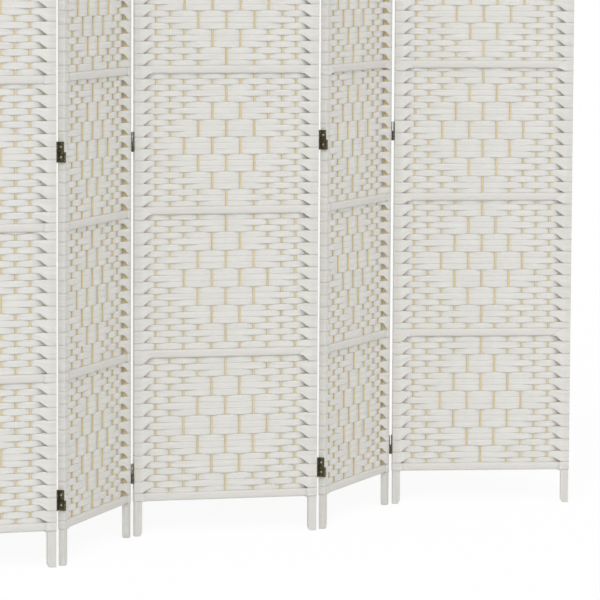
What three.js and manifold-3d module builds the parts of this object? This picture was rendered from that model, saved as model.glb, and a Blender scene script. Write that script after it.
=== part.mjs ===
// A folding screen of five woven panels, standing half folded in a zigzag.
//
// Each panel has two wooden stiles, a ladder of rails and thin upright ribs between them, and a
// skin of woven paper strands that goes in front of and behind the ribs and round the stiles.
// Neighbouring panels are joined by double-action hinges. Each has two leaves and a link between
// them, which turns on a back pin in its upper half and on a front pin in its lower half, so two
// panels fold face to face either way.
//
// Millimetres, +Z up. The middle panel stands along X with its front towards -Y. The origin lies
// on the floor, under the middle of the box round the whole screen.

import * as THREE from "three";
import { mergeVertices } from "three/addons/utils/BufferGeometryUtils.js";
import Module from "manifold-3d";

const wasm = await Module();
wasm.setup();

// Driving dimensions

const clearance = 0.3; // between two pieces that sit against each other

const panelWidth = 445; // over the woven skin
const panelHeight = 1778;

const stileWidth = 19;
const stileDepth = 14;
const footChamferWidth = 5;
const footChamferHeight = 8;
const coveRadius = 9; // under the bottom rail, on the inside of each right leg
const coveSegments = 6;

const sectionCount = 5;
const bottomRailHeight = 92; // of its centre line, over the floor
const topRailInset = 16; // from the stiles' tops down to its centre line
const railHeight = 19;
const railDepth = 16;

const ribCount = 11;
const ribMargin = 54; // from the panel's edge to the first rib's centre line
const ribWidth = 5.5;
const ribDepth = 5;

const strandThickness = 1.2;

const hingeHeight = 46;
const hingeGap = 8; // between two panels' edges when they stand in line
const hingeInset = 57; // from an end rail's centre line to the hinge's middle
const leafWidth = 15;
const plateThickness = 1.2;
const knuckleRadius = 3;
const knuckleSides = 8;
const knucklesPerPin = 3; // two of the link's with one of a leaf's between them
const pinRadius = 1.5;
const pinClearance = 0.3; // round a pin in its bore
const knuckleClearance = 0.4; // from a knuckle to the plate that is notched for it
const pinStandOff = 1.4; // from the woven face out to each pin's axis
const linkWidth = 16;
const screwHoleRadius = 3.5; // through the link, over each screw of the leaf behind it
const screwSpacing = 23;

// How far each pair of neighbours is folded where the screen stands, and which of their faces
// come together: the back ones turn on the back pins, the front ones on the front pins.
const folds = [
  { angle: 53, pin: "back" },
  { angle: 58, pin: "front" },
  { angle: 53.5, pin: "back" },
  { angle: 62.5, pin: "front" },
];

// Worked out from them

const halfWidth = panelWidth / 2;
const skinGap = strandThickness + clearance; // from the skin's outer face in to the wood
const stileOuter = halfWidth - skinGap;
const stileInner = stileOuter - stileWidth;
const skinAtStile = stileDepth / 2 + skinGap;
const skinAtRibs = ribDepth / 2 + skinGap;
const skinWaist = halfWidth - ribMargin + ribWidth / 2 + clearance; // drawn in at the first rib
const railHalf = stileInner - clearance;
const sectionPitch = (panelHeight - bottomRailHeight - topRailInset) / sectionCount;
const railCentres = Array.from(
  { length: sectionCount + 1 },
  (_, i) => bottomRailHeight + i * sectionPitch,
);
const lowestEdge = railCentres[0] - railHeight / 2;
const highestEdge = railCentres[sectionCount] + railHeight / 2;
const pinOffset = skinAtStile + pinStandOff;
const hingeReach = halfWidth + hingeGap / 2; // from a panel's middle to its hinge's middle plane
const hingeLevels = {
  lower: railCentres[0] + hingeInset,
  middle: (railCentres[0] + railCentres[sectionCount]) / 2,
  upper: railCentres[sectionCount] - hingeInset,
};

// Materials

const materials = {
  stile: new THREE.MeshStandardMaterial({ color: 0xdcdad4, roughness: 0.55, metalness: 0 }),
  ladder: new THREE.MeshStandardMaterial({ color: 0xd8d4ca, roughness: 0.6, metalness: 0 }),
  weave: new THREE.MeshStandardMaterial({ color: 0xdedcd6, roughness: 0.85, metalness: 0 }),
  hinge: new THREE.MeshStandardMaterial({ color: 0x4a4534, roughness: 0.45, metalness: 0.8 }),
};

// Solids

// A closed geometry as a solid that can be joined and cut.
function solid(geometry) {
  const sameCorner = 1e-4;
  geometry.deleteAttribute("normal");
  geometry.deleteAttribute("uv");
  const merged = mergeVertices(geometry, sameCorner);
  return new wasm.Manifold(
    new wasm.Mesh({
      numProp: 3,
      vertProperties: merged.attributes.position.array,
      triVerts: new Uint32Array(merged.index.array),
    }),
  );
}

function geometryOf(joined) {
  const { numProp, vertProperties, triVerts } = joined.getMesh();
  const geometry = new THREE.BufferGeometry();
  geometry.setAttribute("position", new THREE.BufferAttribute(vertProperties, numProp));
  geometry.setIndex(new THREE.BufferAttribute(triVerts, 1));
  geometry.computeVertexNormals();
  return geometry;
}

function join(solids) {
  return solids.reduce((all, next) => all.add(next));
}

// A box between two corners.
function box([x0, y0, z0], [x1, y1, z1]) {
  const geometry = new THREE.BoxGeometry(x1 - x0, y1 - y0, z1 - z0);
  geometry.translate((x0 + x1) / 2, (y0 + y1) / 2, (z0 + z1) / 2);
  return solid(geometry);
}

// An upright cylinder on the axis at x, y.
function cylinder(radius, x, y, z0, z1) {
  const geometry = new THREE.CylinderGeometry(radius, radius, z1 - z0, knuckleSides);
  geometry.rotateX(Math.PI / 2);
  geometry.translate(x, y, (z0 + z1) / 2);
  return solid(geometry);
}

// A plan outline raised from z0 to z1.
function upright(shape, z0, z1) {
  const geometry = new THREE.ExtrudeGeometry(shape, { depth: z1 - z0, bevelEnabled: false });
  geometry.translate(0, 0, z0);
  return geometry;
}

// Panel pieces, each in its panel's frame: x across, y to the back, z up from the floor

// A stile's outline seen from the front, drawn for the right side.
function stileOutline(hasCove) {
  const outline = new THREE.Shape();
  outline.moveTo(stileInner + footChamferWidth, 0);
  outline.lineTo(stileOuter, 0);
  outline.lineTo(stileOuter, panelHeight);
  outline.lineTo(stileInner, panelHeight);
  if (hasCove) {
    const coveTop = lowestEdge - clearance;
    outline.lineTo(stileInner, coveTop);
    outline.lineTo(stileInner - coveRadius, coveTop);
    outline.absarc(
      stileInner - coveRadius,
      coveTop - coveRadius,
      coveRadius,
      Math.PI / 2,
      0,
      true,
    );
  }
  outline.lineTo(stileInner, footChamferHeight);
  outline.closePath();
  return outline;
}

function stile(side) {
  const geometry = new THREE.ExtrudeGeometry(stileOutline(side === "right"), {
    depth: stileDepth,
    bevelEnabled: false,
    curveSegments: coveSegments,
  });
  geometry.rotateX(Math.PI / 2);
  geometry.translate(0, stileDepth / 2, 0);
  if (side === "left") geometry.rotateZ(Math.PI);
  return geometry;
}

// Rails and ribs, which the panel's maker glues into one ladder.
function ribLadder() {
  const rails = railCentres.map((centre) =>
    box(
      [-railHalf, -railDepth / 2, centre - railHeight / 2],
      [railHalf, railDepth / 2, centre + railHeight / 2],
    ),
  );
  const spacing = (panelWidth - 2 * ribMargin) / (ribCount - 1);
  const ribs = Array.from({ length: ribCount }, (_, i) => {
    const x = ribMargin - halfWidth + i * spacing;
    return box(
      [x - ribWidth / 2, -ribDepth / 2, railCentres[0]],
      [x + ribWidth / 2, ribDepth / 2, railCentres[sectionCount]],
    );
  });
  return geometryOf(join([...rails, ...ribs]));
}

// The corners of the skin's plan, as far in from its outer face as inset.
function skinLoop(inset) {
  const corner = [halfWidth - inset, skinAtStile - inset];
  const shoulder = [stileInner - clearance, skinAtStile - inset];
  const waist = [skinWaist, skinAtRibs - inset];
  const quarter = [corner, shoulder, waist];
  const mirrored = (points, sx, sy) => points.map(([x, y]) => [sx * x, sy * y]);
  return [
    ...quarter,
    ...mirrored([...quarter].reverse(), -1, 1),
    ...mirrored(quarter, -1, -1),
    ...mirrored([...quarter].reverse(), 1, -1),
  ].map(([x, y]) => new THREE.Vector2(x, y));
}

// Three sides of a stile, open towards the rails: the strands' wrap past a rail's end.
function wrapOutline(side) {
  const outer = halfWidth;
  const inner = halfWidth - strandThickness;
  const outerDepth = skinAtStile;
  const innerDepth = skinAtStile - strandThickness;
  const points = [
    [stileInner, -outerDepth],
    [outer, -outerDepth],
    [outer, outerDepth],
    [stileInner, outerDepth],
    [stileInner, innerDepth],
    [inner, innerDepth],
    [inner, -innerDepth],
    [stileInner, -innerDepth],
  ];
  return new THREE.Shape(points.map(([x, y]) => new THREE.Vector2(side * x, side * y)));
}

function paperWeave() {
  const pieces = [];
  for (let i = 0; i < sectionCount; i++) {
    const plan = new THREE.Shape(skinLoop(0));
    plan.holes.push(new THREE.Path(skinLoop(strandThickness)));
    const bottom = railCentres[i] + railHeight / 2 + clearance;
    const top = railCentres[i + 1] - railHeight / 2 - clearance;
    pieces.push(solid(upright(plan, bottom, top)));
  }
  for (const side of [-1, 1]) {
    pieces.push(solid(upright(wrapOutline(side), lowestEdge, highestEdge)));
  }
  return geometryOf(join(pieces));
}

// Hinge pieces, each in its hinge's frame: x across the gap, y to the back, z up from its foot

const halfHinge = hingeHeight / 2;
const knuckleLength = (halfHinge - 2 * clearance) / knucklesPerPin;
const pinSides = {
  back: { side: 1, foot: halfHinge },
  front: { side: -1, foot: 0 },
};

// A box between pairs of values, which may come in either order across and in depth.
function plate([x0, x1], [y0, y1], [z0, z1]) {
  return box([Math.min(x0, x1), Math.min(y0, y1), z0], [Math.max(x0, x1), Math.max(y0, y1), z1]);
}

// A leaf lies on its panel's edge and turns on one pin: the left panel's on the back one.
function leaf(pin) {
  const { side, foot } = pinSides[pin];
  const bottom = foot + knuckleLength + clearance;
  const top = bottom + knuckleLength;
  const outer = -side * (hingeGap / 2 - clearance);
  const thickness = [outer, outer + side * plateThickness];
  const axis = side * pinOffset;
  const body = join([
    plate(thickness, [-leafWidth / 2, leafWidth / 2], [0, hingeHeight]),
    plate(thickness, [0, axis], [bottom, top]),
    cylinder(knuckleRadius, 0, axis, bottom, top),
  ]);
  const overrun = 1;
  return body.subtract(
    cylinder(pinRadius + pinClearance, 0, axis, bottom - overrun, top + overrun),
  );
}

// The link's knuckles at the two ends of one pin, and the pin between them.
function linkBarrel(pin) {
  const { side, foot } = pinSides[pin];
  const axis = side * pinOffset;
  const top = foot + halfHinge;
  return join([
    cylinder(knuckleRadius, 0, axis, foot, foot + knuckleLength),
    cylinder(pinRadius, 0, axis, foot + knuckleLength / 2, top - knuckleLength / 2),
    cylinder(knuckleRadius, 0, axis, top - knuckleLength, top),
  ]);
}

// Half of the link's plate, from its free edge to the pin, notched for the leaf's knuckle.
function linkPlate(pin) {
  const { side, foot } = pinSides[pin];
  const top = foot + halfHinge;
  const thickness = [-plateThickness / 2, plateThickness / 2];
  const notch = side * (pinOffset - knuckleRadius - knuckleClearance);
  return join([
    plate(thickness, [-side * (linkWidth / 2), notch], [foot, top]),
    plate(thickness, [0, side * pinOffset], [foot, foot + knuckleLength]),
    plate(thickness, [0, side * pinOffset], [top - knuckleLength, top]),
  ]);
}

function link() {
  const body = join([
    linkPlate("back"),
    linkPlate("front"),
    linkBarrel("back"),
    linkBarrel("front"),
  ]);
  const screwHole = new THREE.CylinderGeometry(
    screwHoleRadius,
    screwHoleRadius,
    hingeGap,
    knuckleSides,
  );
  screwHole.rotateZ(Math.PI / 2);
  screwHole.translate(0, 0, halfHinge - screwSpacing / 2);
  const lower = solid(screwHole);
  return body.subtract(lower).subtract(lower.translate([0, 0, screwSpacing]));
}

// Assembly

const shapes = {
  leftStile: stile("left"),
  rightStile: stile("right"),
  ladder: ribLadder(),
  weave: paperWeave(),
  leftLeaf: geometryOf(leaf("back")),
  rightLeaf: geometryOf(leaf("front")),
  link: geometryOf(link()),
};

function named(name, geometry, material) {
  const mesh = new THREE.Mesh(geometry, material);
  mesh.name = name;
  return mesh;
}

// One panel with the hinge leaves that are screwed to its edges.
function panel(number) {
  const group = new THREE.Group();
  const prefix = `panel_${number}`;
  group.add(
    named(`${prefix}_left_stile`, shapes.leftStile, materials.stile),
    named(`${prefix}_right_stile`, shapes.rightStile, materials.stile),
    named(`${prefix}_rib_ladder`, shapes.ladder, materials.ladder),
    named(`${prefix}_paper_weave`, shapes.weave, materials.weave),
  );
  if (number > 1) {
    addHinges(group, number - 1, "right_leaf", shapes.rightLeaf, -1);
  }
  if (number <= folds.length) {
    addHinges(group, number, "left_leaf", shapes.leftLeaf, 1);
  }
  return group;
}

// The same piece of each of the three hinges on one edge of a panel.
function addHinges(group, hinge, piece, geometry, edge) {
  for (const [level, middle] of Object.entries(hingeLevels)) {
    const mesh = named(`hinge_${hinge}_${level}_${piece}`, geometry, materials.hinge);
    mesh.position.set(edge * hingeReach, 0, middle - halfHinge);
    group.add(mesh);
  }
}

// Hangs the next panel on the pins at one edge of a panel, turned by the fold between them.
// The links turn with the leaf whose pins stay shut: the right one's under a fold on the back pins.
function hang(from, next, hinge, edge) {
  const { angle, pin } = folds[hinge - 1];
  const { side } = pinSides[pin];
  const pivot = new THREE.Group();
  pivot.position.set(edge * hingeReach, side * pinOffset, 0);
  pivot.rotation.z = edge * side * THREE.MathUtils.degToRad(angle);
  next.position.set(edge * hingeReach, -side * pinOffset, 0);
  pivot.add(next);
  from.add(pivot);
  const linkIsOnRight = pin === "back";
  const nextIsOnRight = edge > 0;
  const carrier = linkIsOnRight === nextIsOnRight ? next : from;
  addHinges(carrier, hinge, "link", shapes.link, linkIsOnRight ? -1 : 1);
}

function foldingScreen() {
  const panels = Array.from({ length: folds.length + 1 }, (_, i) => panel(i + 1));
  const middle = Math.floor(folds.length / 2);
  for (let i = middle; i < folds.length; i++) hang(panels[i], panels[i + 1], i + 1, 1);
  for (let i = middle; i > 0; i--) hang(panels[i], panels[i - 1], i, -1);
  return panels[middle];
}

const screen = foldingScreen();
screen.updateMatrixWorld(true);
const extent = new THREE.Box3().setFromObject(screen, true);
const centre = extent.getCenter(new THREE.Vector3());
screen.position.set(-centre.x, -centre.y, -extent.min.z);

const part = new THREE.Group();
part.add(screen);
export default part;
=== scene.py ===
"""A folding screen of five woven paper panels, dressed for a studio picture.

Each panel has painted stiles and rails, bare ribs, and rows of flat twisted paper strands that
pass in front of and behind the ribs and go round the stiles. Bronzed double-action hinges join
the panels. Sizes are in metres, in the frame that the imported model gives.
"""

import math
import random

import bmesh
import bpy
import numpy
from bpy.props import FloatProperty, FloatVectorProperty, IntProperty, PointerProperty
from mathutils import Matrix, Vector


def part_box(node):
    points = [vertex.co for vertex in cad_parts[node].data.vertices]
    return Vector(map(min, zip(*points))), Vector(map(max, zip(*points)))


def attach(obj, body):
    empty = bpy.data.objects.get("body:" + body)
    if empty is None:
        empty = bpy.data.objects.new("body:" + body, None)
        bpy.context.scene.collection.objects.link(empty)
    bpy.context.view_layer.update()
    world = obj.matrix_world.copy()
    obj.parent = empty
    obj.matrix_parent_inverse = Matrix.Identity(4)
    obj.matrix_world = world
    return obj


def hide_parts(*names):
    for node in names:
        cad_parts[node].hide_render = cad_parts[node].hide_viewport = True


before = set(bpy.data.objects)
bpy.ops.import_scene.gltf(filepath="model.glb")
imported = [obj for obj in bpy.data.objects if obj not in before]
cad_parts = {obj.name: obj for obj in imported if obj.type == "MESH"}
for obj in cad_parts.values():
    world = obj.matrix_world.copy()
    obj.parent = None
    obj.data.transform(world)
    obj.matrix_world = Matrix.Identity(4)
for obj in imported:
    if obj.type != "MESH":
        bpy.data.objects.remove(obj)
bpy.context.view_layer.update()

bl_info = {
    "name": "Woven paper folding screen",
    "version": (1, 0, 0),
    "blender": (4, 5, 0),
    "location": "View3D > Sidebar > Folding screen",
    "description": "Dresses a folding screen of five woven paper panels",
    "category": "Object",
}

MM = 0.001

PANELS = (1, 2, 3, 4, 5)
HINGES = (1, 2, 3, 4)
LEVELS = ("lower", "middle", "upper")
SECTION_COUNT = 5
RIB_COUNT = 11
FRONT, BACK = -1, 1
# A link turns with the panel on this side of its hinge where the screen stands.
LINK_SIDE = {1: "right", 2: "left", 3: "right", 4: "left"}

# The middle panel stands square to the frame, so its boxes give the sizes that all five share.
SKIN_LOW, SKIN_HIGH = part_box("panel_3_paper_weave")
LADDER_LOW, LADDER_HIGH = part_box("panel_3_rib_ladder")
STILE_LOW, STILE_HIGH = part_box("panel_3_left_stile")
LEAF_LOW, LEAF_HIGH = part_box("hinge_3_lower_left_leaf")
HALF_WIDTH = (SKIN_HIGH.x - SKIN_LOW.x) / 2
RAIL_HALF = (LADDER_HIGH.x - LADDER_LOW.x) / 2
RAIL_DEPTH = LADDER_HIGH.y - LADDER_LOW.y
STILE_WIDTH = STILE_HIGH.x - STILE_LOW.x
STILE_DEPTH = STILE_HIGH.y - STILE_LOW.y
STILE_OUTER = (SKIN_LOW.x + SKIN_HIGH.x) / 2 - STILE_LOW.x
STILE_INNER = STILE_OUTER - STILE_WIDTH
HINGE_HEIGHT = LEAF_HIGH.z - LEAF_LOW.z
PAINT_CREEP = 2 * MM  # how far the stiles' paint reaches in under the skin's ends


# Colours and materials


def linear(code):
    """An sRGB hex colour as linear red, green and blue."""
    shares = [int(code[i : i + 2], 16) / 255 for i in (1, 3, 5)]
    return tuple(c / 12.92 if c <= 0.04045 else ((c + 0.055) / 1.055) ** 2.4 for c in shares)


def add_node(tree, kind, settings=None, inputs=None, stops=()):
    """Adds a shader node with its settings, its inputs filled or linked, and a ramp's stops."""
    node = tree.nodes.new("ShaderNode" + kind)
    for name, value in (settings or {}).items():
        setattr(node, name, value)
    for name, value in (inputs or {}).items():
        socket = node.inputs[name]
        if isinstance(value, bpy.types.NodeSocket):
            tree.links.new(value, socket)
        else:
            socket.default_value = value
    for index, (position, colour) in enumerate(stops):
        elements = node.color_ramp.elements
        # A new ramp has two stops already.
        element = elements[index] if index < 2 else elements.new(position)
        element.position = position
        element.color = (*colour, 1)
    return node


def new_material(name):
    """An empty node material and its tree, or None for the tree where it was made before."""
    material = bpy.data.materials.get(name)
    if material:
        return material, None
    material = bpy.data.materials.new(name)
    material.use_nodes = True
    material.node_tree.nodes.clear()
    return material, material.node_tree


def finish(name, surface):
    """The material of a finish, made once: its surface gives the shader's inputs."""
    material, tree = new_material(name)
    if tree:
        shader = add_node(tree, "BsdfPrincipled", inputs=surface(tree))
        add_node(tree, "OutputMaterial", inputs={"Surface": shader.outputs["BSDF"]})
    return material


def shade(colour, factor):
    """A lighter or darker tint of a colour."""
    return tuple(min(1.0, c * factor) for c in colour)


def streaks(tree, place, size, detail, roughness=0.5):
    """A factor in streaks, whose size is in metres along each axis of a place."""
    scaled = add_node(tree, "Mapping", inputs={"Vector": place, "Scale": [1 / side for side in size]})
    return add_node(
        tree,
        "TexNoise",
        inputs={
            "Vector": scaled.outputs["Vector"],
            "Scale": 1.0,
            "Detail": detail,
            "Roughness": roughness,
        },
    ).outputs["Fac"]


def on_wood(tree, colour, relief, strength, roughness):
    """A shader's inputs for painted or bare wood, whose grain or brush marks are 0.3 mm deep."""
    bump = add_node(
        tree, "Bump", inputs={"Strength": strength, "Distance": 0.3 * MM, "Height": relief}
    )
    return {
        "Base Color": colour,
        "Roughness": roughness,
        "IOR": 1.5,
        "Normal": bump.outputs["Normal"],
    }


def woven_paper(tree):
    """White-painted twisted paper: chalky and matt, with fibres and a slow lay along each strand."""
    paper = bpy.context.scene.folding_screen_finishes.paper
    strand = add_node(tree, "UVMap", {"uv_map": "strand"}).outputs["UV"]
    # Fibres are 0.1 mm wide; they are drawn 1.6 mm wide and 30 mm long so that they show.
    fibre = streaks(tree, strand, (30 * MM, 1.6 * MM, 1), 3.0, 0.6)
    # Each strand took the paint a little differently, over a hand's width at a time.
    tone = streaks(tree, strand, (120 * MM, 5 * MM, 1), 1.0)
    colour = add_node(
        tree, "ValToRGB", inputs={"Fac": tone}, stops=[(0.3, shade(paper, 0.93)), (0.7, paper)]
    ).outputs["Color"]
    # The wraps round the stiles are a little darker than the rest: painted shade, for the shadow lines
    # between their strands.
    place = add_node(tree, "UVMap", {"uv_map": "place"}).outputs["UV"]
    outward = add_node(tree, "SeparateXYZ", inputs={"Vector": place}).outputs["X"]
    for factor, stops in (
        (fibre, [(0.25, (0.93, 0.93, 0.92)), (0.6, (1, 1, 1))]),
        (outward, [(0.9, (1, 1, 1)), (0.95, (0.945, 0.94, 0.925))]),
    ):
        layer = add_node(tree, "ValToRGB", inputs={"Fac": factor}, stops=stops)
        colour = add_node(
            tree,
            "Mix",
            {"data_type": "RGBA", "blend_type": "MULTIPLY"},
            {"Factor": 1.0, 6: colour, 7: layer.outputs["Color"]},
        ).outputs[2]
    # The paper is twisted. The lay of its twist is under 1 mm wide, and is drawn 3 mm wide.
    lay = add_node(
        tree,
        "Mapping",
        inputs={
            "Vector": strand,
            "Rotation": (0, 0, math.radians(28)),
            "Scale": (1 / (3 * MM), 1 / (3 * MM), 1),
        },
    )
    twist = add_node(
        tree,
        "TexWave",
        {"wave_type": "BANDS", "bands_direction": "X"},
        {"Vector": lay.outputs["Vector"], "Scale": 0.32, "Distortion": 1.5, "Detail": 1.0},
    )
    lay_depth = {"Strength": 0.25, "Distance": 0.3 * MM, "Height": twist.outputs["Fac"]}
    coarse = add_node(tree, "Bump", inputs=lay_depth).outputs["Normal"]
    fibre_depth = {"Strength": 0.35, "Distance": 0.2 * MM, "Height": fibre, "Normal": coarse}
    fine = add_node(tree, "Bump", inputs=fibre_depth).outputs["Normal"]
    return {
        "Base Color": colour,
        "Roughness": 0.82,
        "IOR": 1.45,
        "Specular IOR Level": 0.3,
        "Normal": fine,
    }


def painted_stile(tree):
    """Sprayed white paint on hardwood: satin, with the grain just telling through.

    The stiles were painted with the skin on, so the wood is bare where the strands cover it.
    """
    finishes = bpy.context.scene.folding_screen_finishes
    place = add_node(tree, "TexCoord").outputs["Object"]
    pores = streaks(tree, place, (3 * MM, 3 * MM, 60 * MM), 4.0, 0.55)
    # The bare wood is drawn lighter than the ribs' own wood, up to 1.38 times: painted light, so that it
    # shows bright in the deep pockets beside the wraps.
    paint, bare = (
        add_node(tree, "ValToRGB", inputs={"Fac": pores}, stops=stops).outputs["Color"]
        for stops in (
            [(0.35, shade(finishes.paint, 0.94)), (0.65, finishes.paint)],
            [(0.3, shade(finishes.rib, 1.2)), (0.7, shade(finishes.rib, 1.38))],
        )
    )
    height = add_node(tree, "SeparateXYZ", inputs={"Vector": place}).outputs["Z"]
    above, below = (
        add_node(tree, "Math", {"operation": operation}, {0: height, 1: edge}).outputs[0]
        for operation, edge in (
            ("GREATER_THAN", SKIN_LOW.z + PAINT_CREEP),
            ("LESS_THAN", SKIN_HIGH.z - PAINT_CREEP),
        )
    )
    covered = add_node(tree, "Math", {"operation": "MULTIPLY"}, {0: above, 1: below})
    colour = add_node(
        tree, "Mix", {"data_type": "RGBA"}, {"Factor": covered.outputs[0], 6: paint, 7: bare}
    )
    return on_wood(tree, colour.outputs[2], pores, 0.2, 0.5)


def painted_rail(tree):
    """Brushed white paint on pine rails: satin, with faint brush marks from end to end."""
    paint = bpy.context.scene.folding_screen_finishes.paint
    place = add_node(tree, "TexCoord").outputs["Object"]
    # Brush marks follow the rail only roughly, so one direction does for all five headings.
    marks = streaks(tree, place, (50 * MM, 50 * MM, 1.8 * MM), 3.0)
    colour = add_node(
        tree,
        "ValToRGB",
        inputs={"Fac": marks},
        stops=[(0.3, shade(paint, 0.93)), (0.65, shade(paint, 0.99))],
    )
    return on_wood(tree, colour.outputs["Color"], marks, 0.25, 0.55)


def bare_rib(tree):
    """Planed bare softwood: dull straw tan with long straight grain."""
    tan = bpy.context.scene.folding_screen_finishes.rib
    place = add_node(tree, "TexCoord").outputs["Object"]
    grain = streaks(tree, place, (2.2 * MM, 2.2 * MM, 90 * MM), 4.0, 0.55)
    colour = add_node(
        tree,
        "ValToRGB",
        inputs={"Fac": grain},
        stops=[(0.3, shade(tan, 0.82)), (0.5, tan), (0.72, shade(tan, 1.1))],
    )
    return on_wood(tree, colour.outputs["Color"], grain, 0.3, 0.7)


def bronzed_steel(tree):
    """Bronzed pressed steel: dark olive-brown metal with a dull, blotched sheen."""
    bronze = bpy.context.scene.folding_screen_finishes.hinge
    place = add_node(tree, "TexCoord").outputs["Object"]
    # The bronzing has worn off in blotches of about 4 mm; the lightest blotches are partly that wear and
    # partly painted highlights.
    blotch = add_node(
        tree, "TexNoise", inputs={"Vector": place, "Scale": 1 / (4 * MM), "Detail": 3.0}
    ).outputs["Fac"]
    colour = add_node(
        tree,
        "ValToRGB",
        inputs={"Fac": blotch},
        stops=[(0.34, shade(bronze, 0.45)), (0.6, bronze), (0.75, shade(bronze, 2.2))],
    )
    rough = add_node(
        tree,
        "MapRange",
        inputs={"Value": blotch, "From Min": 0.3, "From Max": 0.7, "To Min": 0.38, "To Max": 0.55},
    )
    return {
        "Base Color": colour.outputs["Color"],
        "Metallic": 0.8,
        "Roughness": rough.outputs["Result"],
    }


def zinc_steel(tree):
    """Zinc-plated steel screws: bright and slightly grey, with a turned sheen."""
    zinc = bpy.context.scene.folding_screen_finishes.screw
    place = add_node(tree, "TexCoord").outputs["Object"]
    wear = add_node(
        tree, "TexNoise", inputs={"Vector": place, "Scale": 1 / (1.5 * MM), "Detail": 2.0}
    ).outputs["Fac"]
    colour = add_node(
        tree, "ValToRGB", inputs={"Fac": wear}, stops=[(0.3, shade(zinc, 0.85)), (0.7, zinc)]
    )
    return {"Base Color": colour.outputs["Color"], "Metallic": 1.0, "Roughness": 0.38}


# Modelling steps


def start_piece():
    """Leaves edit mode and deselects everything, so that the next step acts on its own piece."""
    if bpy.context.object and bpy.context.object.mode != "OBJECT":
        bpy.ops.object.mode_set(mode="OBJECT")
    bpy.ops.object.select_all(action="DESELECT")


def take_up(piece):
    """Makes a piece the only selected one."""
    start_piece()
    piece.select_set(True)
    bpy.context.view_layer.objects.active = piece


def select_in_edit(piece, edge=None, face=None):
    """Opens a piece in edit mode with the edges or faces selected that a test picks."""
    take_up(piece)
    bpy.ops.object.mode_set(mode="EDIT")
    bpy.ops.mesh.select_mode(type="EDGE" if edge else "FACE")
    bpy.ops.mesh.select_all(action="DESELECT")
    mesh = bmesh.from_edit_mesh(piece.data)
    for part, test in ((mesh.edges, edge), (mesh.faces, face)):
        for element in part if test else ():
            if test(element):
                element.select_set(True)
    bmesh.update_edit_mesh(piece.data)


def close_edit():
    bpy.ops.object.mode_set(mode="OBJECT")


def bar(low, high):
    """A square-edged bar between two corners, with its place in its mesh."""
    start_piece()
    low, high = Vector(low), Vector(high)
    bpy.ops.mesh.primitive_cube_add(size=1, location=(low + high) / 2, scale=high - low)
    bpy.ops.object.transform_apply(location=True, rotation=True, scale=True)
    return bpy.context.object


def round_over(piece, edge, offset, segments):
    """Rounds the picked edges over."""
    select_in_edit(piece, edge=edge)
    bpy.ops.mesh.bevel(offset=offset, segments=segments, affect="EDGES")
    close_edit()


def round_corners(piece, width, segments, angle):
    """Rounds the edges at which a piece turns by more than an angle, in degrees."""
    take_up(piece)
    rounding = piece.modifiers.new("rounding", "BEVEL")
    rounding.width = width
    rounding.segments = segments
    rounding.limit_method = "ANGLE"
    rounding.angle_limit = math.radians(angle)
    bpy.ops.object.modifier_apply(modifier=rounding.name)


def any_edge(_edge):
    return True


def runs_along(axis):
    """A test for edges that run along an axis."""

    def test(edge):
        way = (edge.verts[1].co - edge.verts[0].co).normalized()
        return abs(way[axis]) > 0.99

    return test


def plate(low, high, rounding):
    """A thin plate with softened edges."""
    piece = bar(low, high)
    round_over(piece, any_edge, rounding, 2)
    return piece


def round_bar(radius, at, z0, z1, rounding, bore=0.0, sides=24):
    """An upright turned bar on an axis, with softened rims, and bored through where asked."""
    start_piece()
    bpy.ops.mesh.primitive_cylinder_add(
        vertices=sides,
        radius=radius,
        depth=z1 - z0,
        location=(at[0], at[1], (z0 + z1) / 2),
    )
    bpy.ops.object.transform_apply(location=True, rotation=True, scale=True)
    piece = bpy.context.object
    if bore:
        select_in_edit(piece, face=lambda f: abs(f.normal.z) > 0.9)
        bpy.ops.mesh.inset(thickness=radius - bore, use_individual=True)
        bpy.ops.mesh.bridge_edge_loops()
        close_edit()

    def is_rim(edge):
        away = (edge.verts[0].co - Vector((*at, edge.verts[0].co.z))).length
        return away > radius - 1e-5 and abs(edge.verts[0].co.z - edge.verts[1].co.z) < 1e-6

    round_over(piece, is_rim, rounding, 2)
    return piece


def join(pieces):
    """Joins pieces into the first one."""
    take_up(pieces[0])
    for piece in pieces[1:]:
        piece.select_set(True)
    bpy.ops.object.join()
    return bpy.context.object


def cut_away(piece, cutter):
    """Cuts one piece's shape out of another."""
    take_up(piece)
    hole = piece.modifiers.new("hole", "BOOLEAN")
    hole.operation = "DIFFERENCE"
    hole.solver = "EXACT"
    hole.object = cutter
    bpy.ops.object.modifier_apply(modifier=hole.name)
    bpy.data.objects.remove(cutter)
    return piece


def copy_to(piece, matrix):
    """A copy with its own mesh, whose place is in that mesh."""
    copied = piece.copy()
    copied.data = piece.data.copy()
    copied.data.transform(matrix)
    bpy.context.scene.collection.objects.link(copied)
    return copied


def soften(piece):
    """Shades a piece smooth, apart from its sharp edges."""
    take_up(piece)
    bpy.ops.object.shade_smooth_by_angle(angle=math.radians(35))


def settle(piece, name, body, material, nodes=()):
    """Names a finished piece, gives it its finish, and joins it to the frame."""
    piece.name = piece.data.name = name
    piece.data.materials.clear()
    piece.data.materials.append(material)
    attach(piece, body)
    if nodes:
        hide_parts(*nodes)
    return piece


def panel_frame(number):
    """From a panel's own frame (x across, y to the back, z up) to the shared frame."""
    low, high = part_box(f"panel_{number}_rib_ladder")
    middle = (low + high) / 2
    low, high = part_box(f"panel_{number}_left_stile")
    across = middle - (low + high) / 2
    across.z = 0
    across.normalize()
    back = Vector((-across.y, across.x, 0))
    turn = Matrix((across, back, (0, 0, 1))).transposed().to_4x4()
    return Matrix.Translation((middle.x, middle.y, 0)) @ turn


def panel_at(hinge, side):
    """The number of the panel on one side of a hinge."""
    return hinge if side == "left" else hinge + 1


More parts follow.
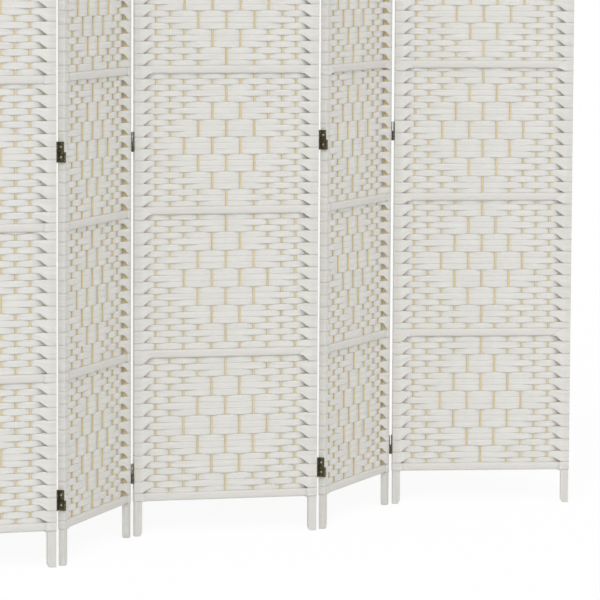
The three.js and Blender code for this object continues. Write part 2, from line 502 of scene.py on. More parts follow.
def hinge_frame(hinge, level, side):
    """From a hinge's own frame to the shared frame, as one of its two panels holds it."""
    sizes = bpy.context.scene.folding_screen_sizes
    reach = HALF_WIDTH + sizes.hinge_gap / 2
    x = reach if side == "left" else -reach
    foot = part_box(f"hinge_{hinge}_{level}_left_leaf")[0].z
    return panel_frame(panel_at(hinge, side)) @ Matrix.Translation((x, 0, foot))


# Sizes and finishes that a user would change


def length(name, description, default):
    return FloatProperty(
        name=name, description=description, default=default, unit="LENGTH", precision=4
    )


def tint(name, description, code):
    return FloatVectorProperty(
        name=name,
        description=description,
        default=linear(code),
        subtype="COLOR",
        size=3,
        min=0,
        max=1,
    )


class FoldingScreenSizes(bpy.types.PropertyGroup):
    """Sizes of the dressed screen, in metres."""

    strand_thickness: length("Strand thickness", "Thickness of a flat paper strand", 1.2 * MM)
    rib_width: length("Rib width", "Width of a rib across the panel", 4.5 * MM)
    rib_depth: length("Rib depth", "Depth of a rib", 3.2 * MM)
    rib_margin: length("Rib margin", "From a panel's edge to the first rib's centre line", 54 * MM)
    rail_height: length("Rail height", "Height of a rail", 19 * MM)
    rail_rounding: length("Rail rounding", "Radius of a rail's long edges", 5 * MM)
    stile_rounding: length("Stile rounding", "Radius of a stile's edges", 1.2 * MM)
    hinge_gap: length("Hinge gap", "Between two panels' edges when they stand in line", 8 * MM)
    pin_offset: length("Pin offset", "From a panel's middle plane to a hinge pin", 9.9 * MM)
    leaf_width: length("Leaf width", "Width of a hinge leaf", 15 * MM)
    plate_thickness: length("Plate thickness", "Thickness of a hinge's plates", 1.2 * MM)
    knuckle_radius: length("Knuckle radius", "Outside radius of a hinge knuckle", 3 * MM)
    pin_radius: length("Pin radius", "Radius of a hinge pin", 1.5 * MM)
    screw_radius: length("Screw radius", "Radius of a hinge screw's head", 2.8 * MM)
    screw_spacing: length("Screw spacing", "Between a leaf's two screws", 23 * MM)
    strands: IntProperty(
        name="Strands",
        description="Paper strands laid side by side in a row",
        default=3,
        min=1,
    )


class FoldingScreenFinishes(bpy.types.PropertyGroup):
    """Colours of the dressed screen."""

    paper: tint("Paper", "White-painted twisted paper", "#E8E7E3")
    paint: tint("Paint", "White paint on stiles and rails", "#E0DED9")
    rib: tint("Bare wood", "Bare softwood of the ribs", "#DBCBA3")
    hinge: tint("Hinge", "Bronzed steel of the hinges", "#6A634A")
    screw: tint("Screw", "Zinc-plated steel of the screws", "#E6E3DA")
    floor: tint("Floor", "Studio floor", "#F4F4F4")


# Where a panel's rails and ribs stand

RIB_EDGE = 0.9 * MM  # radius of a rib's long edges
# How far each panel's inner rails and its ribs sit from their even places, in millimetres: each
# inner rail upwards, from the lowest one, and the ribs to the right where they cross each of the
# six rails, from the bottom one up.
RAIL_SHIFTS = {
    1: (-1, 1, -6, 0),
    2: (-1, 0, -2.5, 0),
    3: (3, 5, 0, 0),
    4: (2, 5, -1.5, 0),
    5: (1, 4, -3, 0),
}
RIB_SHIFTS = {
    1: (-5,) * 6,
    2: (-17, -17, -19, -15, -8, -8),
    3: (0,) * 6,
    4: (-2, -8, -24, -23, -24, -24),
    5: (-1,) * 6,
}


def rail_heights(sizes, number):
    """The centre lines of a panel's rails, from the bottom one up."""
    lowest = LADDER_LOW.z + sizes.rail_height / 2
    highest = LADDER_HIGH.z - sizes.rail_height / 2
    even = [lowest + (highest - lowest) * i / SECTION_COUNT for i in range(SECTION_COUNT + 1)]
    return [z + shift * MM for z, shift in zip(even, (0, *RAIL_SHIFTS[number], 0))]


def rib_places(sizes, number, z):
    """The centre lines of a panel's ribs at a height, from left to right."""
    spacing = 2 * (HALF_WIDTH - sizes.rib_margin) / (RIB_COUNT - 1)
    shift = numpy.interp(z, rail_heights(sizes, number), RIB_SHIFTS[number]) * MM
    first = sizes.rib_margin - HALF_WIDTH + float(shift)
    return [first + i * spacing for i in range(RIB_COUNT)]


# The woven skin

MIDDLE_RIB = 6
ROWS_TO_A_BLOCK = 3
MIDDLE_BLOCK = 3
DIAMOND_REACH = 4
# How much of a strand's half thickness is left between two strands, and at a row's edges.
VALLEY, ROW_EDGE = 0.66, 0.6
ROW_OVERLAP = 0.22 * MM  # by which packed rows press into each other
# The air between the strands and what they lie on.
RIB_AIR, RAIL_AIR, STILE_AIR, END_AIR = 0.1 * MM, 0.1 * MM, 0.15 * MM, 0.05 * MM
RIB_HOLD = 0.9  # the share of a rib's width that a strand lies flat on
# From a stile's inner edge to where a row or a half wrap lies flat on the stile.
STILE_HOLD, WRAP_HOLD = 0.5 * MM, 1 * MM
WRAP_FLAT = HALF_WIDTH - 10.5 * MM  # from a panel's middle to where a wrap lies flat on the stile's face
WRAP_CORNER = 1.6 * MM  # radius of a wrap's way round a stile's corner
WRAP_POINTS = (0, 30, 60, 90)  # the points on that corner, in degrees
# The line between two rows wanders by WANDER in three waves, each given by its length in a radian
# and its share. They die out from CALM_START to CALM_END, from a panel's middle outwards.
WANDER = 0.22 * MM
WANDER_WAVES = ((31 * MM, 1.0), (13 * MM, 0.6), (80 * MM, 0.5))
CALM_START, CALM_END = 120 * MM, 170 * MM
# From a panel's edge: where the edge of a wrap starts to run down a row, and where it is down.
ROW_DROOP = (39 * MM, 20 * MM)
RAIL_DROOP = (27 * MM, 14 * MM)
# From a panel's edge: how far in the wraps over a section's top and at the foot reach.
TOP_REACH, FOOT_REACH = 30 * MM, 27 * MM
# The strands that cross a rail's end taper to a tip beside it: each point's place from the panel's
# edge, how far it sinks in, and its shares of the strands' height over the rail's lower edge and
# under it.
RAIL_TIP = (
    (44 * MM, 0.6 * MM, 0.25, 0.0),
    (36 * MM, 0.0, 0.55, 0.0),
    (27 * MM, 0.0, 0.8, 0.6),
)
MAP_ROW = 15 * MM  # a row's height in the strand map
# The rows of each panel's lower four sections, from the bottom one up, and of all top sections:
# the first and last row, and how much of a full row's height each of those two has. Rows are
# numbered from the top of the diamond, so the weaver's extra rows over it have numbers under 0.
PANEL_ROWS = {
    1: ((-1, 20, 0.9, 0.8), (-1, 20, 0.25, 1.2), (-1, 20, 0.7, 0.7), (-1, 20, 0.6, 0.9)),
    2: ((-1, 20, 0.6, 1.05), (-1, 20, 0.7, 1.2), (-1, 20, 0.7, 1.2), (-1, 19, 0.85, 1.1)),
    3: ((0, 20, 1, 0.75), (0, 21, 0.9, 1.1), (-2, 20, 0.9, 0.9), (-1, 20, 1.1, 0.9)),
    4: ((-1, 20, 1.1, 1.05), (1, 22, 0.5, 1.3), (0, 21, 0.35, 1.1), (-1, 20, 1.4, 1.1)),
    5: ((0, 20, 1, 0.75), (0, 21, 0.65, 0.95), (0, 20, 0.5, 0.7), (-1, 21, 0.8, 0.5)),
}
TOP_ROWS = (0, 20, 1, 0.8)
WEAVE_SEED = 17


def rib_shows(row, rib):
    """Whether a row passes behind a rib: a block pattern inside the diamond, plain outside it."""
    away = abs(rib - MIDDLE_RIB)
    block = row // ROWS_TO_A_BLOCK
    if row >= 0 and away <= DIAMOND_REACH - abs(block - MIDDLE_BLOCK):
        return (block + away) % 2 == 0
    return (row + away) % 2 == 0


def ease(share):
    """A share from 0 to 1 that starts and ends gently."""
    share = min(1.0, max(0.0, share))
    return share * share * (3 - 2 * share)


class PanelWeave:
    """Collects the bands of strands of one panel, in the panel's own frame."""

    def __init__(self, sizes, number):
        self.sizes = sizes
        self.number = number
        half = sizes.strand_thickness / 2
        self.at_rib = sizes.rib_depth / 2 + half + RIB_AIR
        self.at_stile = STILE_DEPTH / 2 + half + STILE_AIR
        self.at_rail = RAIL_DEPTH / 2 + half + RAIL_AIR
        self.end = STILE_OUTER + half + END_AIR
        # Round a band: over the strands' outer faces, then back along their inner ones.
        steps = 2 * sizes.strands
        outer = [(i / steps, 1.0 if i % 2 else VALLEY) for i in range(steps + 1)]
        outer[0], outer[-1] = (0.0, ROW_EDGE), (1.0, ROW_EDGE)
        profile = outer + [(share, -lift) for share, lift in reversed(outer)]
        self.share = numpy.array([share for share, _ in profile])
        self.lift = numpy.array([lift for _, lift in profile]) * half
        around = numpy.where(numpy.arange(len(profile)) <= steps, self.share, 2 - self.share)
        self.around = numpy.append(around, 2.0) * MAP_ROW
        self.draw = random.Random(WEAVE_SEED + number)
        self.waves = {}
        self.points, self.faces, self.loop_uvs, self.places = [], [], [], []
        self.count = 0
        self.bands = 0

    def wander(self, edge, x):
        """How far the line between two rows wanders from level, dying out at the stiles."""
        if edge not in self.waves:
            self.waves[edge] = [self.draw.uniform(0, math.tau) for _ in WANDER_WAVES]
        fade = 1 - ease((abs(x) - CALM_START) / (CALM_END - CALM_START))
        waves = zip(WANDER_WAVES, self.waves[edge])
        return WANDER * fade * sum(share * math.sin(x / size + a) for (size, share), a in waves)

    def across(self, row, z, stile_y):
        """A row's way at a height, from the left stile's inner edge to the right one's."""
        ribs = rib_places(self.sizes, self.number, z)
        sides = [BACK if rib_shows(row, rib) else FRONT for rib in range(1, RIB_COUNT + 1)]
        hold = RIB_HOLD * self.sizes.rib_width / 2
        edge = STILE_INNER + STILE_HOLD
        way = []

        def taut(x0, y0, x1, y1, shares):
            way.extend((x0 + (x1 - x0) * t, y0 + (y1 - y0) * t) for t in shares)

        taut(-edge, stile_y, ribs[0] - hold, sides[0] * self.at_rib, (0, 0.3, 0.5, 0.7))
        for i, x in enumerate(ribs):
            y = sides[i] * self.at_rib
            way += [(x - hold, y), (x + hold, y)]
            if i + 1 < RIB_COUNT and sides[i] != sides[i + 1]:
                after = ribs[i + 1] - hold
                way.extend(
                    (x + hold + (after - x - hold) * t, y - 2 * y * ease(t)) for t in (1 / 3, 2 / 3)
                )
        taut(ribs[-1] + hold, sides[-1] * self.at_rib, edge, stile_y, (0.3, 0.5, 0.7, 1))
        return way

    def turn(self, side, start):
        """Round a stile's outer end, from its front or back face to the other."""
        radius = WRAP_CORNER
        x, y = self.end - radius, self.at_stile - radius
        arc = [math.radians(a) for a in WRAP_POINTS]
        front = [(WRAP_FLAT, -self.at_stile)]
        front += [(x + radius * math.sin(a), -y - radius * math.cos(a)) for a in arc]
        back = [(x0, -y0) for x0, y0 in reversed(front)]
        way = front + [(self.end, 0)] + back
        if start == BACK:
            way.reverse()
        return [(side * x0, y0) for x0, y0 in way]

    def band(self, stations, closed):
        """Adds a flat band of strands along (x, y, top, bottom) stations, with its maps."""
        path = numpy.array(stations)
        if closed:
            before, after = numpy.roll(path, 1, axis=0), numpy.roll(path, -1, axis=0)
        else:
            before = numpy.vstack([path[:1], path[:-1]])
            after = numpy.vstack([path[1:], path[-1:]])
        way = after[:, :2] - before[:, :2]
        way /= numpy.maximum(numpy.linalg.norm(way, axis=1, keepdims=True), 1e-9)
        outward = numpy.stack([way[:, 1], -way[:, 0]], axis=1)
        count, sides = len(path), len(self.share)
        points = numpy.empty((count, sides, 3))
        points[:, :, :2] = path[:, None, :2] + outward[:, None, :] * self.lift[:, None]
        points[:, :, 2] = path[:, None, 2] + (path[:, None, 3] - path[:, None, 2]) * self.share
        self.points.append(points.reshape(-1, 3))
        run = numpy.concatenate(
            [[0.0], numpy.cumsum(numpy.linalg.norm(numpy.diff(path[:, :2], axis=0), axis=1))]
        )
        if closed:
            run = numpy.append(run, run[-1] + numpy.linalg.norm(path[0, :2] - path[-1, :2]))
        around = self.around + self.bands * 4 * MAP_ROW
        spans = count if closed else count - 1
        i = numpy.arange(spans)[:, None]
        j = numpy.arange(sides)[None, :]
        i1, j1 = (i + 1) % count, (j + 1) % sides
        quads = numpy.stack(
            [i * sides + j, i * sides + j1, i1 * sides + j1, i1 * sides + j], axis=-1
        ).reshape(-1, 4)
        u0, u1 = (numpy.broadcast_to(run[i + step], (spans, sides)) for step in (0, 1))
        v0, v1 = (numpy.broadcast_to(around[j + step], (spans, sides)) for step in (0, 1))
        uvs = numpy.stack([u0, v0, u0, v1, u1, v1, u1, v0], axis=-1).reshape(-1, 2)
        self.faces.extend((quads + self.count).tolist())
        self.loop_uvs.append(uvs)
        place = numpy.abs(points[:, :, 0].reshape(-1)) / HALF_WIDTH
        self.places.append(place[quads.reshape(-1)])
        if not closed:
            first = [self.count + k for k in range(sides)][::-1]
            last = [self.count + (count - 1) * sides + k for k in range(sides)]
            for cap, u in ((first, run[0]), (last, run[-1])):
                self.faces.append(cap)
                cap_v = around[:sides] if cap is last else around[:sides][::-1]
                self.loop_uvs.append(numpy.stack([numpy.full(sides, u), cap_v], axis=1))
                self.places.append(place[numpy.array(cap) - self.count])
        self.count += count * sides
        self.bands += 1

    def droop(self, x, inner, outer):
        """0 inside a panel and 1 on its stiles, for the edge of a wrap that runs down a row."""
        return min(1.0, max(0.0, (inner - (HALF_WIDTH - abs(x))) / (inner - outer)))

    def ring(self, row, levels, edges):
        """A row in front of the stiles and the next one behind them, joined round both ends."""
        over, between, under = levels
        over, under = over + ROW_OVERLAP, under - ROW_OVERLAP
        stations = []
        for x, y in self.across(row, (over + between) / 2, -self.at_stile):
            share = self.droop(x, *ROW_DROOP)
            low = between - ROW_OVERLAP + self.wander(edges[1], x)
            stations.append((x, y, over + self.wander(edges[0], x), low + (under - low) * share))
        stations += [(x, y, over, under) for x, y in self.turn(1, FRONT)]
        for x, y in reversed(self.across(row + 1, (between + under) / 2, self.at_stile)):
            share = self.droop(x, *ROW_DROOP)
            high = between + ROW_OVERLAP + self.wander(edges[1], x)
            stations.append((x, y, high + (over - high) * share, under + self.wander(edges[2], x)))
        stations += [(x, y, over, under) for x, y in self.turn(-1, BACK)]
        self.band(stations, closed=True)

    def half_wrap(self, side, levels, reach):
        """Round one stile only, with both ends laid over the rail or the strands beside it."""
        high, low = levels
        inner = HALF_WIDTH - reach
        y = self.at_rail
        front = [(side * inner, -y), (side * (STILE_INNER + WRAP_HOLD), -y)]
        back = [(x0, -y0) for x0, y0 in reversed(front)]
        way = front + self.turn(side, FRONT) + back
        if side < 0:
            way.reverse()
        self.band([(x0, y0, high, low) for x0, y0 in way], closed=False)

    def rail_wrap(self, row, levels, edges):
        """The strands that cross a rail's ends, go round the stiles and on as a section's top row."""
        over, between, under = levels
        height = over - between

        def front_end(side):
            way = [
                (
                    HALF_WIDTH - inward,
                    sink - self.at_rail,
                    between + high * height,
                    between + (under - between) * low,
                )
                for inward, sink, high, low in RAIL_TIP
            ]
            way.append((STILE_INNER + STILE_HOLD, -self.at_rail, over, under))
            return [(side * x, y, top, bottom) for x, y, top, bottom in way]

        stations = front_end(1)
        stations += [(x, y, over, under) for x, y in self.turn(1, FRONT)]
        for x, y in reversed(self.across(row, (between + under) / 2, self.at_rail)):
            share = self.droop(x, *RAIL_DROOP)
            high = between + self.wander(edges[0], x)
            if share > 0:
                y = self.at_rail
            stations.append((x, y, high + (over - high) * share, under + self.wander(edges[1], x)))
        stations += [(x, y, over, under) for x, y in self.turn(-1, BACK)]
        stations += front_end(-1)[::-1]
        self.band(stations, closed=False)

    def last_row(self, row, levels, edges):
        """A single row in front of the stiles, whose ends go round to the back."""
        over, under = levels
        stations = [
            (x, y, over + self.wander(edges[0], x), under)
            for x, y in self.across(row, (over + under) / 2, -self.at_stile)
        ]
        stations += [(x, y, over, under) for x, y in self.turn(1, FRONT)]
        stations.append((STILE_INNER, self.at_stile, over, under))
        left = [(x, y, over, under) for x, y in self.turn(-1, BACK)]
        left.insert(0, (-STILE_INNER, self.at_stile, over, under))
        self.band(left + stations, closed=False)

    def section(self, index, bottom, top, rail_top, rows):
        """One section between two rails, from its top row down."""
        first, last, first_share, last_share = rows
        count = last - first + 1
        pitch = (top - bottom) / (count - 2 + first_share + last_share)
        second = top - first_share * pitch
        levels = [top] + [second - i * pitch for i in range(count - 1)] + [bottom]
        edges = [(index, i) for i in range(count + 1)]
        row, i = first, 0
        if row % 2 == 0:
            self.rail_wrap(row, (rail_top, levels[0], levels[1]), (edges[0], edges[1]))
            row, i = row + 1, i + 1
        else:
            for side in (-1, 1):
                self.half_wrap(side, (rail_top, top), TOP_REACH)
        while row < last:
            self.ring(row, levels[i : i + 3], edges[i : i + 3])
            row, i = row + 2, i + 2
        if row == last:
            self.last_row(row, levels[i : i + 2], edges[i : i + 2])

    def mesh(self, matrix):
        """The collected bands as a mesh in the shared frame.

        One map runs along the strands in metres, the other says how near a panel's edge a place is.
        """
        mesh = bpy.data.meshes.new(f"panel_{self.number}_woven_strands")
        mesh.from_pydata(numpy.vstack(self.points).tolist(), [], self.faces)
        places = numpy.concatenate(self.places)
        maps = {"strand": numpy.vstack(self.loop_uvs), "place": numpy.stack([places, places], 1)}
        for name, values in maps.items():
            layer = mesh.uv_layers.new(name=name)
            layer.data.foreach_set("uv", values.astype(numpy.float32).ravel())
        mesh.shade_smooth()
        mesh.transform(matrix)
        mesh.update()
        return mesh


# Operators


class MakeStage(bpy.types.Operator):
    """Make the camera, the white floor and the soft light"""

    bl_idname = "folding_screen.make_stage"
    bl_label = "Stage"

    def execute(self, context):
        scene = context.scene
        scene.view_settings.view_transform = "Standard"
        self.camera(scene)
        self.lamps(scene)
        self.floor(scene)
        return {"FINISHED"}

    def camera(self, scene):
        """The photo's camera, which looks along yaw and down pitch and is a little rolled."""
        place = (-2.238462, -8.940174, 1.431408)
        yaw, pitch, roll = -0.2619, 0.0947, 0.0052  # in radians
        forward = Vector(
            (-math.sin(yaw) * math.cos(pitch), math.cos(yaw) * math.cos(pitch), -math.sin(pitch))
        )
        level = Vector((math.cos(yaw), math.sin(yaw), 0))
        over = level.cross(forward)
        right = math.cos(roll) * level + math.sin(roll) * over
        up = math.cos(roll) * over - math.sin(roll) * level
        start_piece()
        bpy.ops.object.camera_add()
        camera = bpy.context.object
        camera.name = "camera"
        turn = Matrix((right, up, -forward)).transposed().to_4x4()
        camera.matrix_world = Matrix.Translation(place) @ turn
        camera.data.sensor_width = 36
        camera.data.lens = 237.19
        camera.data.clip_start, camera.data.clip_end = 0.1, 400
        scene.camera = camera

    def lamps(self, scene):
        """A wide soft light from the front, and a white room that lights from all round."""
        start_piece()
        bpy.ops.object.light_add(type="SUN", location=(0, 0, 4))
        sun = bpy.context.object
        sun.name = "soft_front_light"
        to_light = Vector((-0.15, -0.83, 0.53))
        sun.rotation_euler = to_light.to_track_quat("Z", "Y").to_euler()
        sun.data.energy = 0.95
        sun.data.angle = math.radians(50)
        world = scene.world or bpy.data.worlds.new("studio")
        scene.world = world
        world.use_nodes = True
        tree = world.node_tree
        tree.nodes.clear()
        room = add_node(tree, "Background", inputs={"Color": (1, 1, 1, 1), "Strength": 0.76})
        seen = add_node(tree, "Background", inputs={"Color": (1, 1, 1, 1), "Strength": 1.0})
        mixed = add_node(
            tree,
            "MixShader",
            inputs={0: self.seen_directly(tree), 1: room.outputs[0], 2: seen.outputs[0]},
        )
        add_node(tree, "OutputWorld", inputs={"Surface": mixed.outputs[0]})

    def seen_directly(self, tree):
        """1 for what the camera sees, also in metal and glass."""
        path = add_node(tree, "LightPath")
        seen = path.outputs["Is Camera Ray"]
        for name in ("Is Glossy Ray", "Is Transmission Ray"):
            inputs = {0: seen, 1: path.outputs[name]}
            seen = add_node(tree, "Math", {"operation": "MAXIMUM"}, inputs).outputs[0]
        return seen

    def floor(self, scene):
        """A matt white floor, which the camera sees as nearly plain white."""
        start_piece()
        bpy.ops.mesh.primitive_plane_add(size=240, location=(0, 0, 0))
        bpy.ops.object.transform_apply(location=True, rotation=True, scale=True)
        floor = bpy.context.object
        floor.name = "floor"
        material, tree = new_material("matt white studio floor")
        if tree:
            colour = (*scene.folding_screen_finishes.floor, 1)
            matt = add_node(tree, "BsdfDiffuse", inputs={"Color": colour, "Roughness": 1.0})
            white = add_node(tree, "Emission", inputs={"Color": (1, 1, 1, 1), "Strength": 1.0})
            inputs = {0: self.seen_directly(tree), 1: 0.88}
            share = add_node(tree, "Math", {"operation": "MULTIPLY"}, inputs)
            mixed = add_node(
                tree,
                "MixShader",
                inputs={0: share.outputs[0], 1: matt.outputs[0], 2: white.outputs[0]},
            )
            add_node(tree, "OutputMaterial", inputs={"Surface": mixed.outputs[0]})
        floor.data.materials.append(material)


class MakeStiles(bpy.types.Operator):
    """Make the painted stiles, with softened edges"""

    bl_idname = "folding_screen.make_stiles"
    bl_label = "Stiles"

    def execute(self, context):
        sizes = context.scene.folding_screen_sizes
        for number in PANELS:
            for side in ("left", "right"):
                node = f"panel_{number}_{side}_stile"
                piece = bpy.data.objects.new("stile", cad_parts[node].data.copy())
                context.scene.collection.objects.link(piece)
                take_up(piece)
                bpy.ops.object.mode_set(mode="EDIT")
                bpy.ops.mesh.select_all(action="SELECT")
                bpy.ops.mesh.remove_doubles(threshold=0.01 * MM)
                bpy.ops.mesh.dissolve_limited(angle_limit=math.radians(1))
                close_edit()
                round_corners(piece, sizes.stile_rounding, 3, 40)
                soften(piece)
                paint = finish("white-painted hardwood, sprayed", painted_stile)
                name = f"panel_{number}_{side}_painted_stile"
                settle(piece, name, f"panel_{number}", paint, [node])
        return {"FINISHED"}


class MakeRails(bpy.types.Operator):
    """Make the rounded, painted rails"""

    bl_idname = "folding_screen.make_rails"
    bl_label = "Rails"

    def execute(self, context):
        sizes = context.scene.folding_screen_sizes
        height = sizes.rail_height
        pattern = bar(
            (-RAIL_HALF, -RAIL_DEPTH / 2, -height / 2), (RAIL_HALF, RAIL_DEPTH / 2, height / 2)
        )
        round_over(pattern, runs_along(0), sizes.rail_rounding, 5)
        soften(pattern)
        for number in PANELS:
            rails = [
                copy_to(pattern, panel_frame(number) @ Matrix.Translation((0, 0, z)))
                for z in rail_heights(sizes, number)
            ]
            paint = finish("white-painted pine, brushed", painted_rail)
            panel = f"panel_{number}"
            name = f"{panel}_painted_rails"
            settle(join(rails), name, panel, paint, [f"{panel}_rib_ladder"])
        bpy.data.objects.remove(pattern)
        return {"FINISHED"}


class MakeRibs(bpy.types.Operator):
    """Make the thin bare ribs that the strands pass in front of and behind"""

    bl_idname = "folding_screen.make_ribs"
    bl_label = "Ribs"

    def execute(self, context):
        sizes = context.scene.folding_screen_sizes
        half_width, half_depth = sizes.rib_width / 2, sizes.rib_depth / 2
        pattern = bar((-half_width, -half_depth, 0), (half_width, half_depth, 1))
        round_over(pattern, runs_along(2), RIB_EDGE, 2)
        soften(pattern)
        for number in PANELS:
            rails = rail_heights(sizes, number)
            ribs = []
            for low, high in zip(rails, rails[1:]):
                ends = zip(rib_places(sizes, number, low), rib_places(sizes, number, high))
                for foot, tip in ends:
                    # The pattern is 1 m tall: this stretches it from rail to rail and leans it.
                    lean = Matrix(
                        ((1, 0, tip - foot, foot), (0, 1, 0, 0), (0, 0, high - low, low), (0, 0, 0, 1))
                    )
                    ribs.append(copy_to(pattern, panel_frame(number) @ lean))
            wood = finish("bare softwood, planed", bare_rib)
            panel = f"panel_{number}"
            settle(join(ribs), f"{panel}_bare_ribs", panel, wood, [f"{panel}_rib_ladder"])
        bpy.data.objects.remove(pattern)
        return {"FINISHED"}


class MakeWeave(bpy.types.Operator):
    """Make every row of paper strands, woven through the ribs and round the stiles"""

    bl_idname = "folding_screen.make_weave"
    bl_label = "Woven strands"

    def execute(self, context):
        sizes = context.scene.folding_screen_sizes
        half = sizes.rail_height / 2
        for number in PANELS:
            rails = rail_heights(sizes, number)
            weave = PanelWeave(sizes, number)
            for index, rows in enumerate((*PANEL_ROWS[number], TOP_ROWS)):
                bottom, top = rails[index] + half, rails[index + 1] - half
                weave.section(index, bottom, top, rails[index + 1] + half, rows)
            for side in (-1, 1):
                weave.half_wrap(side, (rails[0] + half, rails[0] - half), FOOT_REACH)
            mesh = weave.mesh(panel_frame(number))
            piece = bpy.data.objects.new(mesh.name, mesh)
            context.scene.collection.objects.link(piece)
            paper = finish("white-painted twisted paper, woven", woven_paper)
            panel = f"panel_{number}"
            settle(piece, f"{panel}_woven_strands", panel, paper, [f"{panel}_paper_weave"])
        return {"FINISHED"}


# The hinges' clearances and the rounding of their edges.
LEAF_GAP = 0.3 * MM  # between a leaf and its panel's edge
KNUCKLE_GAP = 0.3 * MM  # between two knuckles on a pin
BORE_GAP = 0.3 * MM  # between a pin and the leaf's knuckle
NOTCH_GAP = 0.4 * MM  # between a leaf's knuckle and the link
TAB_ROOT = 1 * MM  # how far the tab of a knuckle reaches into its plate
LINK_REACH = 8 * MM  # from the hinge's middle to the link's far edge
LEAF_EDGE, TAB_EDGE, WEB_EDGE = 0.3 * MM, 0.2 * MM, 0.25 * MM
KNUCKLE_EDGE, PIN_EDGE, SCREW_EDGE = 0.35 * MM, 0.3 * MM, 0.5 * MM
PIN_HEAD = 0.35 * MM  # how far a pin stands out of its knuckles
SCREW_HOLE = 3.5 * MM  # radius of the link's hole over a screw
# A screw's head, its shank with its root in the head, and the cross in the head.
HEAD_HEIGHT, SHANK_RADIUS, SHANK_LENGTH, SHANK_ROOT = 1.1 * MM, 1.1 * MM, 9 * MM, 0.3 * MM
CROSS_REACH, CROSS_HALF, CROSS_BOTTOM = 1.3 * MM, 0.28 * MM, 0.6 * MM


def knuckle_heights(pin):
    """The link's lower knuckle, the leaf's and the link's upper one, as (bottom, top)."""
    half = HINGE_HEIGHT / 2
    foot = half if pin == BACK else 0
    long = (half - 2 * KNUCKLE_GAP) / 3
    bottoms = [foot + i * (long + KNUCKLE_GAP) for i in range(3)]
    return [(bottom, bottom + long) for bottom in bottoms]


class MakeHingeLeaves(bpy.types.Operator):
    """Make the hinges' leaves, each with its knuckle"""

    bl_idname = "folding_screen.make_hinge_leaves"
    bl_label = "Hinge leaves"

    def execute(self, context):
        sizes = context.scene.folding_screen_sizes
        for side, pin in (("left", BACK), ("right", FRONT)):
            pattern = self.pattern(sizes, pin)
            for hinge in HINGES:
                for level in LEVELS:
                    leaf = copy_to(pattern, hinge_frame(hinge, level, side))
                    own = f"hinge_{hinge}_{level}_{side}"
                    panel = f"panel_{panel_at(hinge, side)}"
                    bronze = finish("bronzed steel, pressed", bronzed_steel)
                    settle(leaf, f"{own}_bronzed_leaf", panel, bronze, [f"{own}_leaf"])
            bpy.data.objects.remove(pattern)
        return {"FINISHED"}

    def pattern(self, sizes, pin):
        """A leaf with the middle knuckle of its pin."""
        bottom, top = knuckle_heights(pin)[1]
        outer = -pin * (sizes.hinge_gap / 2 - LEAF_GAP)
        x0, x1 = sorted((outer, outer + pin * sizes.plate_thickness))
        half = sizes.leaf_width / 2
        y0, y1 = sorted((pin * (half - TAB_ROOT), pin * sizes.pin_offset))
        leaf = plate((x0, -half, 0), (x1, half, HINGE_HEIGHT), LEAF_EDGE)
        tab = plate((x0, y0, bottom), (x1, y1, top), TAB_EDGE)
        axis = (0, pin * sizes.pin_offset)
        bore = sizes.pin_radius + BORE_GAP
        knuckle = round_bar(sizes.knuckle_radius, axis, bottom, top, KNUCKLE_EDGE, bore)
        piece = join([leaf, tab, knuckle])
        soften(piece)
        return piece


class MakeHingeLinks(bpy.types.Operator):
    """Make the hinges' links, each with its two barrels and pins"""

    bl_idname = "folding_screen.make_hinge_links"
    bl_label = "Hinge links"

    def execute(self, context):
        sizes = context.scene.folding_screen_sizes
        pattern = self.pattern(sizes)
        for hinge in HINGES:
            for level in LEVELS:
                link = copy_to(pattern, hinge_frame(hinge, level, LINK_SIDE[hinge]))
                own = f"hinge_{hinge}_{level}"
                bronze = finish("bronzed steel, pressed", bronzed_steel)
                settle(link, f"{own}_bronzed_link", f"link_{hinge}", bronze, [f"{own}_link"])
        bpy.data.objects.remove(pattern)
        return {"FINISHED"}

    def pattern(self, sizes):
        """A link: for each pin half a web, the outer two knuckles and the pin itself."""
        thick = sizes.plate_thickness / 2
        half = HINGE_HEIGHT / 2
        notch = sizes.pin_offset - sizes.knuckle_radius - NOTCH_GAP
        parts = []
        for pin in (FRONT, BACK):
            foot = 0 if pin == FRONT else half
            y0, y1 = sorted((-pin * LINK_REACH, pin * notch))
            web = bar((-thick, y0, foot), (thick, y1, foot + half))
            web = cut_away(web, self.screw_hole(foot + half / 2))
            round_corners(web, WEB_EDGE, 1, 50)
            parts.append(web)
            axis = (0, pin * sizes.pin_offset)
            lower, _, upper = knuckle_heights(pin)
            y0, y1 = sorted((pin * (notch - TAB_ROOT), pin * sizes.pin_offset))
            for bottom, top in (lower, upper):
                parts.append(plate((-thick, y0, bottom), (thick, y1, top), TAB_EDGE))
                parts.append(round_bar(sizes.knuckle_radius, axis, bottom, top, KNUCKLE_EDGE))
            low, high = lower[0] - PIN_HEAD, upper[1] + PIN_HEAD
            parts.append(round_bar(sizes.pin_radius, axis, low, high, PIN_EDGE, sides=16))
        piece = join(parts)
        soften(piece)
        return piece

    def screw_hole(self, z):
        """Room over the screw of the leaf behind the link."""
        start_piece()
        bpy.ops.mesh.primitive_cylinder_add(
            vertices=24,
            radius=SCREW_HOLE,
            depth=8 * MM,
            location=(0, 0, z),
            rotation=(0, math.pi / 2, 0),
        )
        bpy.ops.object.transform_apply(location=True, rotation=True, scale=True)
        return bpy.context.object


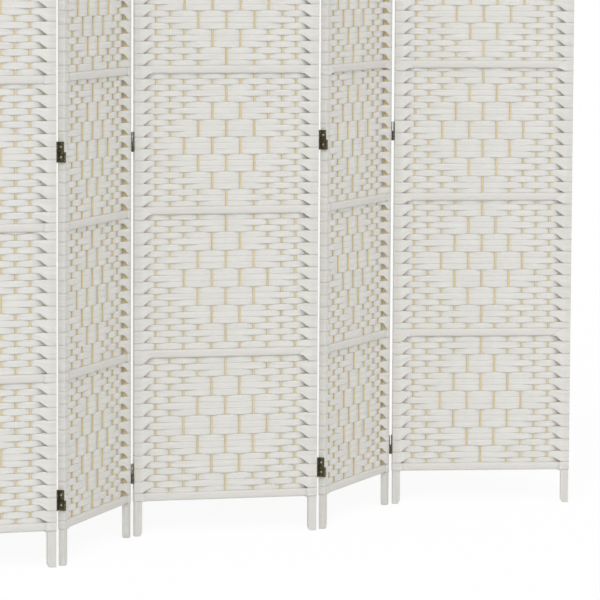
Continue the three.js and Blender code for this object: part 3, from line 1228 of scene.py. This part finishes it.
class MakeHingeScrews(bpy.types.Operator):
    """Make the screws that hold the leaves to the panels"""

    bl_idname = "folding_screen.make_hinge_screws"
    bl_label = "Hinge screws"

    def execute(self, context):
        sizes = context.scene.folding_screen_sizes
        screw = self.screw(sizes)
        face = sizes.hinge_gap / 2 - LEAF_GAP - sizes.plate_thickness
        for side, pin in (("left", BACK), ("right", FRONT)):
            # A screw is made pointing up, and lies with its head to the hinge's middle plane.
            turn = Matrix.Rotation(pin * math.pi / 2, 4, "Y")
            for hinge in HINGES:
                for level in LEVELS:
                    middle = Matrix.Translation((-pin * face, 0, HINGE_HEIGHT / 2))
                    place = hinge_frame(hinge, level, side) @ middle
                    screws = [
                        copy_to(screw, place @ Matrix.Translation((0, 0, z)) @ turn)
                        for z in (-sizes.screw_spacing / 2, sizes.screw_spacing / 2)
                    ]
                    zinc = finish("zinc-plated steel, turned", zinc_steel)
                    name = f"hinge_{hinge}_{level}_{side}_screws"
                    settle(join(screws), name, f"panel_{panel_at(hinge, side)}", zinc)
        bpy.data.objects.remove(screw)
        return {"FINISHED"}

    def screw(self, sizes):
        """A cross-head screw on the Z axis, with its head's underside at 0 and its shank below."""
        head = round_bar(sizes.screw_radius, (0, 0), 0, HEAD_HEIGHT, SCREW_EDGE, sides=20)
        for x, y in ((CROSS_REACH, CROSS_HALF), (CROSS_HALF, CROSS_REACH)):
            head = cut_away(head, bar((-x, -y, CROSS_BOTTOM), (x, y, 2 * HEAD_HEIGHT)))
        shank = round_bar(SHANK_RADIUS, (0, 0), -SHANK_LENGTH, SHANK_ROOT, SCREW_EDGE, sides=10)
        piece = join([head, shank])
        soften(piece)
        return piece


class FoldingScreenPanel(bpy.types.Panel):
    """Lists the steps that dress the screen"""

    bl_idname = "VIEW3D_PT_folding_screen"
    bl_label = "Folding screen"
    bl_space_type = "VIEW_3D"
    bl_region_type = "UI"
    bl_category = "Folding screen"

    def draw(self, context):
        for group in (context.scene.folding_screen_sizes, context.scene.folding_screen_finishes):
            box = self.layout.box()
            for name in group.__annotations__:
                box.prop(group, name)
        for operator in OPERATORS:
            self.layout.operator(operator.bl_idname)


OPERATORS = (
    MakeStage,
    MakeStiles,
    MakeRails,
    MakeRibs,
    MakeWeave,
    MakeHingeLeaves,
    MakeHingeLinks,
    MakeHingeScrews,
)
CLASSES = (FoldingScreenSizes, FoldingScreenFinishes, *OPERATORS, FoldingScreenPanel)


def register():
    for cls in CLASSES:
        bpy.utils.register_class(cls)
    bpy.types.Scene.folding_screen_sizes = PointerProperty(type=FoldingScreenSizes)
    bpy.types.Scene.folding_screen_finishes = PointerProperty(type=FoldingScreenFinishes)


def unregister():
    del bpy.types.Scene.folding_screen_finishes
    del bpy.types.Scene.folding_screen_sizes
    for cls in reversed(CLASSES):
        bpy.utils.unregister_class(cls)


def main():
    register()
    for operator in OPERATORS:
        group, name = operator.bl_idname.split(".")
        getattr(getattr(bpy.ops, group), name)()
    start_piece()


if __name__ == "__main__":
    main()
